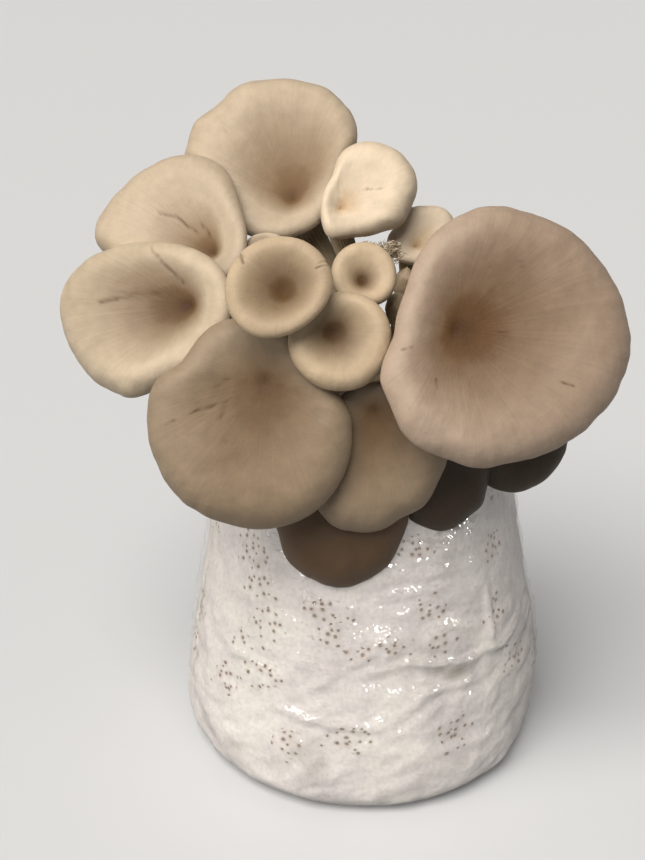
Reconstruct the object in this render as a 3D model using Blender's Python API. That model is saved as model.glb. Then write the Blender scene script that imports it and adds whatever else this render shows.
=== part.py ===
"""Oyster mushroom grow bag.

A soft clear bag clings to a white block of substrate, and a cluster of oyster
mushrooms grows out of its open top and leans over the front edge. The front is -Y.
The origin is on the ground, at the middle of the bag's flat bottom. Sizes are in
millimetres and become metres when a mesh is made.
"""
import math
from collections import namedtuple

import bmesh
import bpy
from mathutils import Vector

MM = 0.001
GAP = 0.35                 # clearance between pieces that touch

# Bag: (height, radius) up its outer side, from the flat bottom to the open rim
BAG_PROFILE = (
    (0.0, 68.0), (1.8, 74.4), (7.0, 79.0), (20.0, 80.2), (42.0, 77.6), (68.0, 73.6),
    (95.0, 69.4), (120.0, 65.2), (142.0, 60.0), (157.0, 54.6), (168.0, 54.0),
)
BAG_SIDES = 30
FILM = 0.8                 # thickness of the film's solid
FILM_GAP = 0.5             # from the film to the block inside it
BLOCK_WALL_TOP = 142.0     # the substrate's side follows the film up to here
BLOCK_EDGE = ((149.0, 4.0), (155.0, 8.0), (158.0, 14.0))   # (height, step in) above its side
BLOCK_TOP = BLOCK_EDGE[-1][0]
RIM_WAVE = 1.6             # height of the film's waves at the open rim
RIM_WAVES = 7
# swells of the soft bag: height, number round it, start angle, climb per radian of twist
BAG_SWELLS = ((1.1, 2, 0.6, 40.0), (0.7, 3, -1.1, 25.0), (0.4, 5, 0.0, 18.0))
SWELL_FADE = 20.0          # height over which the swells grow from the flat bottom
SWELL_RADIUS = 50.0        # inside this radius the flat faces swell less

# Cluster base: a lumpy butt with a flat foot on the block
BASE_CENTRE = Vector((2.0, -20.0, 173.0))
BASE_SIZE = Vector((33.0, 27.0, 23.0))     # half of its width, depth and height
BASE_LUMP = 0.12           # depth of the hollows between its lumps, as a share of its size
BASE_SIDES = 16
BASE_RINGS = 10

# Caps
MARGIN = 2.3               # thickness of a cap just inside its rim
ROLL_START = 0.62          # share of the reach at which the margin begins to turn down
BIG = (22, (0.13, 0.3, 0.5, 0.68, 0.83, 0.94), (0.94, 0.72, 0.44, 0.18))
MIDDLE = (20, (0.15, 0.36, 0.58, 0.78, 0.93), (0.93, 0.68, 0.4, 0.18))
SMALL = (16, (0.2, 0.48, 0.76, 0.93), (0.92, 0.56, 0.22))

# dimple: place of the cap's middle, where its stem ends below
# facing: turn to the right of the front and tilt above level, in degrees
# half: half width and half height of the outline; centre: its middle from the dimple
# spin: turn of the outline in its plane; taper: how much wider it is towards its top
# bowl, roll: rise of the upper side and fall of the margin, as shares of the reach
# wave: height, number and start angle of the margin's waves; flesh: thickness over the stem
# dents: (direction, depth, spread) of notches in the outline; a negative depth is a lobe
Cap = namedtuple("Cap", "mesh dimple facing half centre spin taper bowl roll wave flesh dents")

CAPS = {
    "01": Cap(BIG, (-30, -8, 249), (-8, 44), (33.5, 36), (-9, 17), 9, 0.18,
              0.26, 0.14, (1.2, 3, 40), 8.0, ()),
    "02": Cap(MIDDLE, (-12, -26, 250), (14, 38), (16, 25), (10.5, 5.5), -43, 0.36,
              0.16, 0.22, (0.8, 2, 0), 6.0, ()),
    "03": Cap(SMALL, (18, -15, 232), (20, 40), (15.5, 13.5), (5, 4), 10, -0.10,
              0.14, 0.20, (0.4, 2, 0), 5.0, ()),
    "04": Cap(BIG, (-60, -31, 234), (-28, 38), (34, 27), (-20, 11), -8, -0.28,
              0.22, 0.16, (1.4, 3, 90), 7.0, ()),
    "05": Cap(BIG, (-68, -49, 219), (-30, 28), (38, 30.5), (-19, -9), 9, 0.17,
              0.22, 0.16, (1.2, 3, 10), 7.0, ((-30, 2.0, 16),)),
    "06": Cap(MIDDLE, (-32, -74, 233), (-6, 36), (19, 18), (-2, 1), 34, -0.07,
              0.36, 0.16, (0.5, 3, 0), 6.0, ()),
    "07": Cap(BIG, (29, -69, 217), (14, 27), (44, 50), (17, -7), -45, 0.18,
              0.20, 0.14, (1.0, 3, 60), 9.0, ((148, 2.8, 20), (190, -3.2, 14), (236, 2.0, 14))),
    "08": Cap(SMALL, (-4, -51, 229), (8, 38), (12, 13), (1, 2), 0, 0.04,
              0.30, 0.18, (0.3, 2, 0), 5.0, ()),
    "09": Cap(MIDDLE, (-15, -73, 218), (6, 27), (18.5, 17.5), (3, -4), 20, 0.06,
              0.22, 0.20, (0.6, 2, 45), 6.0, ()),
    "10": Cap(BIG, (-39, -74, 199), (-6, 19), (37.5, 38.5), (-5.5, -17), 35, 0.05,
              0.16, 0.16, (1.2, 4, 30), 8.0, ((132, 2.6, 14), (106, -2.2, 12), (53, 2.2, 14))),
    "11": Cap(MIDDLE, (1, -72, 187), (4, 12), (25, 30), (0, -20), -28, 0.14,
              0.08, 0.16, (0.8, 3, 0), 6.5, ((158, 2.0, 16),)),
    "12": Cap(MIDDLE, (-11, -66, 176), (0, 8), (26.5, 35), (0, -31.5), -10, -0.06,
              0.04, 0.12, (0.8, 3, 0), 5.0, ()),
    "13": Cap(SMALL, (26, -60, 171), (12, 8), (18.5, 23.5), (4, -17), 0, -0.05,
              0.04, 0.16, (0.6, 2, 0), 5.0, ()),
    "14": Cap(SMALL, (58, -46, 173), (10, 12), (21, 20), (1.5, -13), 5, 0.06,
              0.04, 0.16, (0.6, 2, 0), 5.0, ()),
    "15": Cap(SMALL, (-42, -29, 235), (-10, 38), (8, 6), (1, -1), 1, 0.08,
              0.24, 0.16, (0.2, 2, 0), 3.5, ()),
}

# Stems: direction in which each one leaves the base (turn from the front, tilt above
# level, in degrees), then its radius at the base and under the cap
Stem = namedtuple("Stem", "leaves foot head")

STEMS = {
    "01": Stem((-150, 64), 5.4, 8.0),
    "02": Stem((0, 86), 4.0, 5.4),
    "03": Stem((120, 50), 3.6, 5.0),
    "04": Stem((-100, 56), 4.8, 7.0),
    "05": Stem((-82, 24), 5.2, 6.6),
    "06": Stem((-50, 60), 4.4, 6.4),
    "07": Stem((44, 44), 6.2, 10.0),
    "08": Stem((14, 64), 3.4, 4.6),
    "09": Stem((-16, 52), 4.2, 5.8),
    "10": Stem((-48, 28), 5.6, 8.6),
    "11": Stem((8, 30), 4.8, 6.8),
    "12": Stem((-16, 20), 3.6, 4.8),
    "13": Stem((30, 20), 3.6, 4.4),
    "14": Stem((68, 22), 3.8, 5.0),
    "15": Stem((-80, 74), 2.4, 3.0),
}
STEM_SIDES = 8
STEM_RINGS = 6
STEM_BOW = 0.34            # length of the tangents at a stem's ends, as a share of its span
STEM_WAIST = 0.08

# Pinheads: closed young mushrooms, each from its foot on the base to its tip
Pinhead = namedtuple("Pinhead", "leaves tip radius")

PINHEADS = {
    "1": Pinhead((90, 64), (14.0, -30.0, 228.0), 4.2),
    "2": Pinhead((62, 62), (9.8, -43.0, 221.0), 4.8),
}
PINHEAD_FORM = ((0.0, 0.45), (0.5, 0.5), (0.62, 0.86), (0.78, 1.0), (0.92, 0.8), (1.0, 0.3))

# Tuft of dry fibres behind the small round cap
TUFT_CENTRE = Vector((6.0, -30.5, 231.0))
TUFT_SIZE = Vector((9.0, 2.4, 5.0))
TUFT_FRAY = 0.12

# Colours: red, green, blue as the photo shows them in linear light
FILM_COLOUR = (0.86, 0.85, 0.84)
BLOCK_COLOUR = (0.80, 0.77, 0.74)
BASE_COLOUR = (0.62, 0.52, 0.38)
CAP_COLOUR = (0.45, 0.31, 0.20)
STEM_COLOUR = (0.70, 0.60, 0.45)
FIBRE_COLOUR = (0.42, 0.33, 0.24)


def clear_scene():
    for item in list(bpy.data.objects):
        bpy.data.objects.remove(item, do_unlink=True)


def material(name, colour, roughness):
    made = bpy.data.materials.new(name)
    made.use_nodes = True
    shader = made.node_tree.nodes["Principled BSDF"]
    shader.inputs["Base Color"].default_value = (*colour, 1.0)
    shader.inputs["Roughness"].default_value = roughness
    shader.inputs["Metallic"].default_value = 0.0
    return made


def finish(name, shape, surface):
    """Turn a bmesh in millimetres into a smooth object in metres."""
    bmesh.ops.scale(shape, vec=(MM, MM, MM), verts=shape.verts)
    mesh = bpy.data.meshes.new(name)
    shape.to_mesh(mesh)
    shape.free()
    mesh.shade_smooth()
    mesh.materials.append(surface)
    made = bpy.data.objects.new(name, mesh)
    bpy.context.collection.objects.link(made)
    return made


def aim(turn, tilt):
    """Unit vector that looks `turn` degrees right of the front and `tilt` above level."""
    turn, tilt = math.radians(turn), math.radians(tilt)
    return Vector((math.sin(turn) * math.cos(tilt), -math.cos(turn) * math.cos(tilt), math.sin(tilt)))


# Bag and block

def bag_lump(angle, height):
    """How far the soft bag swells or sinks at one place. The flat bottom stays round."""
    swell = sum(size * math.sin(count * angle + start + height / climb)
                for size, count, start, climb in BAG_SWELLS)
    return swell * min(1.0, height / SWELL_FADE)


def rim_crinkle(angle, height):
    """Loose waves in the film above the block."""
    rise = max(0.0, (height - BLOCK_TOP) / (BAG_PROFILE[-1][0] - BLOCK_TOP))
    return rise * RIM_WAVE * math.sin(RIM_WAVES * angle + 0.8)


def inset_profile(inset):
    """The bag's outer profile moved inwards by `inset`, square to each of its edges."""
    points = [Vector((radius, height)) for height, radius in BAG_PROFILE]
    edges = [Vector((1.0, 0.0))] + [(b - a).normalized() for a, b in zip(points, points[1:])]
    edges.append(edges[-1])
    moved = []
    for point, before, after in zip(points, edges, edges[1:]):
        inward = Vector((-before.y - after.y, before.x + after.x))
        moved.append(point + inward * inset / (1 + before.dot(after)))
    return moved


def turned(profile):
    """Spin a profile of (radius, height) points round the bag's axis and give it the bag's lumps."""
    shape = bmesh.new()
    corners = [shape.verts.new((radius, 0.0, height)) for radius, height in profile]
    edges = [shape.edges.new(pair) for pair in zip(corners, corners[1:])]
    bmesh.ops.spin(shape, geom=corners + edges, cent=(0, 0, 0), axis=(0, 0, 1), dvec=(0, 0, 0),
                   angle=math.tau, steps=BAG_SIDES, use_merge=True)
    bmesh.ops.remove_doubles(shape, verts=shape.verts, dist=0.01)
    bmesh.ops.recalc_face_normals(shape, faces=shape.faces)
    for vert in shape.verts:
        radius = math.hypot(vert.co.x, vert.co.y)
        if radius > 1.0:
            angle = math.atan2(vert.co.y, vert.co.x)
            swell = bag_lump(angle, vert.co.z) + rim_crinkle(angle, vert.co.z)
            stretch = 1 + swell * min(1.0, radius / SWELL_RADIUS) / radius
            vert.co.x *= stretch
            vert.co.y *= stretch
    bmesh.ops.triangulate(shape, faces=shape.faces, quad_method="SHORT_EDGE")
    return shape


def make_film(surface):
    outer = inset_profile(0.0)
    inner = inset_profile(FILM)
    profile = [(0.0, 0.0)] + [tuple(point) for point in outer]
    profile += [tuple(point) for point in reversed(inner)] + [(0.0, FILM)]
    return finish("grow_bag_film", turned(profile), surface)


def make_block(surface):
    inset = FILM + FILM_GAP
    wall = [point for point in inset_profile(inset) if point.y < BLOCK_WALL_TOP + 1.0]
    profile = [(0.0, inset)] + [tuple(point) for point in wall]
    top_radius = wall[-1].x
    for height, step in BLOCK_EDGE:
        profile.append((top_radius - step, height))
    profile.append((0.0, BLOCK_TOP))
    return finish("substrate_block", turned(profile), surface)


# Cluster base

def base_surface(direction):
    """Point where a ray from the base's centre leaves its smooth outer surface."""
    stretched = Vector((direction.x / BASE_SIZE.x, direction.y / BASE_SIZE.y, direction.z / BASE_SIZE.z))
    return BASE_CENTRE + direction / stretched.length


def base_lump(direction):
    turn = math.atan2(direction.y, direction.x)
    return 1 - BASE_LUMP * (0.5 + 0.5 * math.sin(4 * turn + 1.0) * math.cos(3 * direction.z))


def make_base(surface):
    shape = bmesh.new()
    bmesh.ops.create_uvsphere(shape, u_segments=BASE_SIDES, v_segments=BASE_RINGS, radius=1.0)
    foot = BLOCK_TOP + GAP
    for vert in shape.verts:
        direction = vert.co.normalized()
        skin = base_surface(direction) - BASE_CENTRE
        vert.co = BASE_CENTRE + skin * base_lump(direction)
        vert.co.z = max(vert.co.z, foot)
    return finish("cluster_base", shape, surface)


# Mushrooms

def outline(cap, angle):
    """Point of the cap's edge in its own plane, measured from the dimple."""
    across = cap.half[0] * math.cos(angle) * (1 + cap.taper * math.sin(angle))
    along = cap.half[1] * math.sin(angle)
    spin = math.radians(cap.spin)
    edge = Vector((across * math.cos(spin) - along * math.sin(spin),
                   across * math.sin(spin) + along * math.cos(spin)))
    heading = math.degrees(math.atan2(edge.y, edge.x))
    for direction, depth, spread in cap.dents:
        off = (heading - direction + 180) % 360 - 180
        edge *= 1 - depth * math.exp(-(off / spread) ** 2) / edge.length
    return Vector(cap.centre) + edge


def top_height(cap, share, reach, angle):
    """Upper side over the dimple: a bowl that flattens outwards and rolls down at the margin."""
    bowl = 1 - (1 - share ** 2) ** 2
    roll = max(0.0, (share - ROLL_START) / (1 - ROLL_START)) ** 2
    height, lobes, start = cap.wave
    wave = height * share ** 2 * math.sin(lobes * angle + math.radians(start))
    return reach * (cap.bowl * bowl - cap.roll * roll) + wave


def thickness(cap, share):
    return MARGIN + (cap.flesh - MARGIN) * (1 - share) ** 1.3


def cap_axes(cap):
    """Right, up and outward directions of a cap's plane."""
    outward = aim(*cap.facing)
    turn = math.radians(cap.facing[0])
    right = Vector((math.cos(turn), math.sin(turn), 0.0))
    return right, outward.cross(right), outward


def make_cap(name, cap, surface):
    """A ball whose rings become the cap's upper side, rim and underside."""
    spokes, upper, lower = cap.mesh
    levels = [(0.0, 1)] + [(share, 1) for share in upper] + [(1.0, 0)]
    levels += [(share, -1) for share in lower] + [(0.0, -1)]
    shape = bmesh.new()
    bmesh.ops.create_uvsphere(shape, u_segments=spokes, v_segments=len(levels) - 1, radius=1.0)
    right, up, outward = cap_axes(cap)
    for vert in shape.verts:
        lean = math.acos(max(-1.0, min(1.0, vert.co.z)))
        share, side = levels[round(lean / math.pi * (len(levels) - 1))]
        angle = math.atan2(vert.co.y, vert.co.x)
        edge = outline(cap, angle)
        height = top_height(cap, share, edge.length, angle)
        if side < 1:
            height -= thickness(cap, share) * (0.5 if side == 0 else 1.0)
        flat = edge * share
        vert.co = Vector(cap.dimple) + right * flat.x + up * flat.y + outward * height
    return finish("cap_" + name, shape, surface)


def make_club(name, rings, surface):
    """A solid through a list of rings, each a centre, an axis and a radius, from foot to head."""
    shape = bmesh.new()
    bmesh.ops.create_uvsphere(shape, u_segments=STEM_SIDES, v_segments=len(rings) + 1, radius=1.0)
    side = rings[0][1].cross(rings[-1][1])
    if side.length < 0.1:
        side = rings[0][1].orthogonal()
    for vert in shape.verts:
        lean = math.acos(max(-1.0, min(1.0, vert.co.z)))
        level = len(rings) - round(lean / math.pi * (len(rings) + 1))
        centre, axis, radius = rings[max(0, min(len(rings) - 1, level))]
        across = (side - axis * side.dot(axis)).normalized()
        flat = Vector((vert.co.x, vert.co.y))
        if flat.length > 0.01:
            flat = flat.normalized() * radius
        vert.co = centre + across * flat.x + axis.cross(across) * flat.y
    return finish(name, shape, surface)


def make_stem(name, cap, stem, surface):
    """A stem bends from its direction off the base until it stands square to the cap."""
    leaves = aim(*stem.leaves)
    outward = aim(*cap.facing)
    start = base_surface(leaves) + leaves * GAP
    end = Vector(cap.dimple) - outward * (cap.flesh + GAP)
    span = end - start
    arrives = (outward + span.normalized()).normalized()
    first = start + leaves * span.length * STEM_BOW
    second = end - arrives * span.length * STEM_BOW
    rings = []
    for step in range(STEM_RINGS):
        t = step / (STEM_RINGS - 1)
        centre = ((1 - t) ** 3 * start + 3 * (1 - t) ** 2 * t * first
                  + 3 * (1 - t) * t ** 2 * second + t ** 3 * end)
        axis = ((1 - t) ** 2 * (first - start) + 2 * (1 - t) * t * (second - first)
                + t ** 2 * (end - second)).normalized()
        axis = axis.lerp(outward, t ** 4).normalized()
        radius = stem.foot + (stem.head - stem.foot) * t ** 2.5
        rings.append((centre, axis, radius * (1 - STEM_WAIST * math.sin(math.pi * t))))
    return make_club("stem_" + name, rings, surface)


def make_pinhead(name, pinhead, surface):
    """A closed cap on a short thin stem, as one plump club."""
    leaves = aim(*pinhead.leaves)
    start = base_surface(leaves) + leaves * GAP
    tip = Vector(pinhead.tip)
    axis = (tip - start).normalized()
    rings = [(start.lerp(tip, share), axis, pinhead.radius * width) for share, width in PINHEAD_FORM]
    rings[0] = (start, leaves, rings[0][2])
    return make_club("pinhead_" + name, rings, surface)


def make_tuft(surface):
    """The rough outer form of a tangle of dry fibres."""
    shape = bmesh.new()
    bmesh.ops.create_icosphere(shape, subdivisions=2, radius=1.0)
    for vert in shape.verts:
        fray = 1 + TUFT_FRAY * math.sin(7 * vert.co.x + 2) * math.cos(6 * vert.co.z)
        vert.co = TUFT_CENTRE + Vector(size * part * fray for size, part in zip(TUFT_SIZE, vert.co))
    return finish("fibre_tuft", shape, surface)


def main():
    clear_scene()
    film = material("bag_film", FILM_COLOUR, 0.12)
    block = material("mycelium_block", BLOCK_COLOUR, 0.7)
    butt = material("cluster_base", BASE_COLOUR, 0.7)
    skin = material("cap_skin", CAP_COLOUR, 0.5)
    flesh = material("stem_flesh", STEM_COLOUR, 0.6)
    fibre = material("dry_fibre", FIBRE_COLOUR, 0.85)
    make_film(film)
    make_block(block)
    make_base(butt)
    for name, cap in CAPS.items():
        make_cap(name, cap, skin)
        make_stem(name, cap, STEMS[name], flesh)
    for name, pinhead in PINHEADS.items():
        make_pinhead(name, pinhead, flesh)
    make_tuft(fibre)


main()
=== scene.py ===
"""Looks of the oyster mushroom grow bag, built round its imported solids.

The front is -Y. Forms are worked out in millimetres and become metres when a piece is
made. On the bag, a turn is measured in degrees to the right of the front.
"""
import math
from collections import namedtuple

import bmesh
import bpy
import numpy as np
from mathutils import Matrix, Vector, noise


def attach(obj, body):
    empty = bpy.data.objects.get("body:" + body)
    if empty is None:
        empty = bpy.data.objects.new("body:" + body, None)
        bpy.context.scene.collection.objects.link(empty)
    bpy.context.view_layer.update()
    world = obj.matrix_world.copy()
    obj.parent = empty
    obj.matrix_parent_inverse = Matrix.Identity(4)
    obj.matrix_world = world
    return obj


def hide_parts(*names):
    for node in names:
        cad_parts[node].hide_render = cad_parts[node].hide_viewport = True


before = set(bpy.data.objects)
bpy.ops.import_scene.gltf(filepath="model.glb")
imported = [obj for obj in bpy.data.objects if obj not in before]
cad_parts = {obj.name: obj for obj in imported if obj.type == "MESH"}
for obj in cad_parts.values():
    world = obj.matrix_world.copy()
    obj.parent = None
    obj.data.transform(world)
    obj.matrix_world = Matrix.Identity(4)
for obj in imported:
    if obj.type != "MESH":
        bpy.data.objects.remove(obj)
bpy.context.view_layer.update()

MM = 0.001

# Bag: (height, radius) up its outer side, from the flat bottom to the open rim
BAG_PROFILE = (
    (0.0, 68.0), (1.8, 74.4), (7.0, 79.0), (20.0, 80.2), (42.0, 77.6), (68.0, 73.6),
    (95.0, 69.4), (120.0, 65.2), (142.0, 60.0), (157.0, 54.6), (168.0, 54.0),
)
RIM = BAG_PROFILE[-1][0]
BLOCK_TOP = 158.0
SHOULDER, SHOULDER_ROUND = 142.0, 16.0   # the block's side ends here, in a rounded edge
CROWN = 157.5                            # the block's top, without its lumps
BOTTOM = 64.0                            # radius of the film's flat bottom
BAG_SWELLS = ((1.1, 2, 0.6, 40.0), (0.7, 3, -1.1, 25.0), (0.4, 5, 0.0, 18.0))
SWELL_FADE = 20.0
SWELL_RADIUS = 50.0
FILM_SPOKES, FILM_STEP = 360, 1.55       # how finely the film is divided round and up
BLOCK_SPOKES, BLOCK_STEP = 330, 1.7
FILM_THICK = 0.12
BLOCK_INSET = 0.5                        # the block stays this far inside the film
PLEATS = 17                              # gathers round the open rim

# Folds of the film: from (turn, height) to (turn, height), half width, height
FOLDS = (
    ((44.0, 97.0), (45.5, 70.0), 1.7, 2.2),
    ((40.0, 69.5), (50.0, 67.0), 1.6, 1.9),
    ((50.0, 67.0), (64.0, 76.0), 1.6, 1.9),
    ((20.0, 88.0), (40.0, 82.0), 2.0, 1.3),
    ((5.0, 103.0), (26.0, 105.0), 1.8, 1.3),
    ((-2.0, 69.0), (14.0, 73.0), 1.8, 1.5),
    ((14.0, 73.0), (26.0, 69.5), 1.7, 2.0),
    ((26.0, 69.5), (42.0, 66.0), 1.7, 2.0),
    ((-26.0, 72.0), (-4.0, 68.0), 1.4, 0.9),
    ((-58.0, 66.0), (-28.0, 62.0), 1.6, 0.9),
    ((10.0, 60.0), (44.0, 56.0), 1.8, 1.2),
    ((-30.0, 48.0), (8.0, 44.0), 2.0, 1.1),
    ((-22.5, 104.0), (-21.0, 72.0), 2.6, 0.8),
    ((176.0, 96.0), (196.0, 70.0), 1.4, 1.1),
    ((118.0, 70.0), (150.0, 60.0), 1.6, 1.1),
    ((-128.0, 64.0), (-96.0, 74.0), 1.5, 1.0),
)
# Folds where the film stands off the block
LOOSE_FOLDS = (
    ((-88.0, 138.0), (-81.0, 20.0), 3.0, 2.8),
    ((84.0, 120.0), (90.0, 14.0), 3.2, 2.0),
    ((150.0, 128.0), (158.0, 30.0), 2.2, 1.6),
    ((-140.0, 118.0), (-150.0, 22.0), 2.0, 1.5),
)
# Places where the film is crinkled finely: turn, height, half width along the bag, half height
CRINKLED = (
    (3, 102, 11, 3.5), (14, 104, 8, 4), (46, 101, 7, 8), (27, 92, 8, 4), (-4, 74, 9, 5), (22, 74, 14, 4),
    (40, 120, 9, 7), (-30, 68, 8, 4), (60, 80, 7, 9), (52, 62, 10, 5), (-8, 66, 16, 4), (150, 84, 14, 9),
    (-120, 96, 12, 10), (200, 60, 14, 8), (100, 110, 10, 12),
)
# Patches of pinholes: turn, height, half width along the bag, half height
PINHOLES = (
    (-45, 112, 9, 10), (-40, 97, 10, 8), (-36, 82, 9, 9), (-46, 70, 8, 6), (-37, 60, 10, 6),
    (-13, 95, 11, 6), (-12, 85, 8, 5), (-4, 78, 6, 4), (9, 81, 9, 5), (22, 95, 8, 7),
    (25, 78, 7, 5), (49, 113, 6, 7), (48, 86, 6, 8), (15, 123, 9, 5), (58, 56, 9, 8),
    (-52, 48, 9, 8), (-5, 40, 12, 8), (30, 36, 10, 9), (-76, 66, 6, 7), (-24, 32, 8, 8),
)
BACK_PATCHES = 22                        # further patches, scattered round the rest of the bag
# Stains under the film: turn, height, half width, half height, strength
STAINS = (
    (31, 64, 8, 2.8, 1.0), (24, 67, 5, 2.0, 0.8), (-77, 68, 1.4, 10, 0.7), (-40, 80, 6, 8, 0.14),
    (-34, 106, 7, 6, 0.16), (12, 70, 9, 5, 0.14), (20, 74, 6, 6, 0.16), (-74, 40, 3, 8, 0.35),
    (160, 50, 9, 5, 0.5), (-150, 90, 6, 9, 0.4), (110, 34, 8, 4, 0.5),
)

# Cluster base
BASE_CENTRE = np.array((2.0, -20.0, 173.0))
BASE_SIZE = np.array((33.0, 27.0, 23.0))
BASE_LUMP = 0.12

# Caps. Places and sizes are the solids' own, and some dents of the outline are added here.
# Each has its dimple, facing (turn, tilt), half width and height of the outline, its centre,
# spin and taper, rise of the bowl and fall of the margin, waves of the margin (height, number,
# start), thickness over the stem, and dents (direction, depth, spread); a depth below 0 is a bulge
MARGIN = 2.3                             # thickness of the flesh at the margin
ROLL_START = 0.56                        # share of the reach at which the margin starts to roll down
EDGE_ROLL, EDGE_ROLL_START = 0.05, 0.7   # a tighter roll near the edge
EDGE_SCALE, EDGE_RAGGED = 1.01, 0.01     # outline against the solid's, and its fine unevenness
PIT_DEPTH, PIT_WIDTH = 0.9, 2.6          # the small pit in each dimple
GILL_DEPTH = 0.52                        # share of the flesh that the gaps between gills take
Cap = namedtuple("Cap", "mesh dimple facing half centre spin taper bowl roll wave flesh dents")
BIG = (576, 38, 15)                      # spokes, rings of the upper side, rings of the gills
MIDDLE = (432, 30, 13)
SMALL = (320, 24, 12)
TINY = (200, 14, 8)
LIP_RINGS = 7
LIP = 0.055                              # the rounded margin, as a share of the reach
MARGIN_COLOUR_AT = 0.85                  # where on the skin's ramp of colours the brown has faded

CAPS = {
    "01": Cap(BIG, (-30, -8, 249), (-8, 44), (33.5, 36), (-9, 17), 9, 0.18,
              0.26, 0.14, (1.2, 3, 40), 8.0,
              ((139, 3.4, 15), (183, -1.6, 10), (-15, 3.2, 28), (46, 1.4, 18))),
    "02": Cap(MIDDLE, (-12, -26, 250), (14, 38), (16, 25), (10.5, 5.5), -43, 0.36,
              0.16, 0.22, (0.8, 2, 0), 6.0,
              ((140, 2.0, 28), (-122, 3.2, 26), (-42, -2.4, 22))),
    "03": Cap(SMALL, (18, -15, 232), (20, 40), (15.5, 13.5), (5, 4), 10, -0.10,
              0.14, 0.20, (0.4, 2, 0), 5.0, ((40, -3.0, 22), (150, 2.0, 20), (-110, 1.6, 30))),
    "04": Cap(BIG, (-60, -31, 234), (-28, 38), (34, 27), (-20, 11), -8, -0.28,
              0.22, 0.16, (1.4, 3, 90), 7.0, ((22, 2.6, 32), (200, -1.4, 12))),
    "05": Cap(BIG, (-68, -49, 219), (-30, 28), (38, 30.5), (-19, -9), 9, 0.17,
              0.22, 0.16, (1.2, 3, 10), 7.0,
              ((-30, 2.0, 16), (-57, 3.0, 22), (-104, 1.4, 18))),
    "06": Cap(MIDDLE, (-32, -74, 233), (-6, 36), (19, 18), (-2, 1), 34, -0.07,
              0.36, 0.16, (0.5, 3, 0), 6.0, ((144, 0.8, 2.4), (29, 0.35, 1.6), (-40, 0.8, 40))),
    "07": Cap(BIG, (29, -69, 217), (14, 27), (44, 50), (17, -7), -45, 0.18,
              0.20, 0.14, (1.0, 3, 60), 9.0,
              ((148, 2.8, 20), (170, 1.8, 9), (190, -2.2, 9), (236, 3.0, 14), (-92, 1.4, 16),
               (70, 1.2, 12))),
    "08": Cap(SMALL, (-4, -51, 229), (8, 38), (12, 13), (1, 2), 0, 0.04,
              0.30, 0.18, (0.3, 2, 0), 5.0, ((-85, 1.2, 30),)),
    "09": Cap(MIDDLE, (-15, -73, 218), (6, 27), (18.5, 17.5), (3, -4), 20, 0.06,
              0.22, 0.20, (0.6, 2, 45), 6.0, ()),
    "10": Cap(BIG, (-39, -74, 199), (-6, 19), (37.5, 38.5), (-5.5, -17), 35, 0.05,
              0.16, 0.16, (1.2, 4, 30), 8.0,
              ((132, 2.6, 14), (106, -1.0, 12), (53, 2.2, 14), (142, 2.6, 11), (28, 3.4, 13))),
    "11": Cap(MIDDLE, (1, -72, 187), (4, 12), (25, 30), (0, -20), -28, 0.14,
              0.08, 0.16, (0.8, 3, 0), 6.5, ((158, 2.0, 16), (-44, -2.4, 18), (-84, -1.4, 16))),
    "12": Cap(MIDDLE, (-11, -66, 176), (0, 8), (26.5, 35), (0, -31.5), -10, -0.06,
              0.04, 0.12, (0.8, 3, 0), 5.0, ((-56, -1.8, 14), (-84, -2.2, 15), (-150, 1.8, 12))),
    "13": Cap(SMALL, (26, -60, 171), (12, 8), (18.5, 23.5), (4, -17), 0, -0.05,
              0.04, 0.16, (0.6, 2, 0), 5.0, ((-90, -2.2, 24), (-130, -2.0, 14), (-48, -1.4, 14))),
    "14": Cap(SMALL, (58, -46, 173), (10, 12), (21, 20), (1.5, -13), 5, 0.06,
              0.04, 0.16, (0.6, 2, 0), 5.0, ()),
    "15": Cap(TINY, (-41, -29, 236.5), (-10, 38), (8, 6), (1, -1), 1, 0.08,
              0.24, 0.16, (0.2, 2, 0), 3.5, ()),
}

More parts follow.
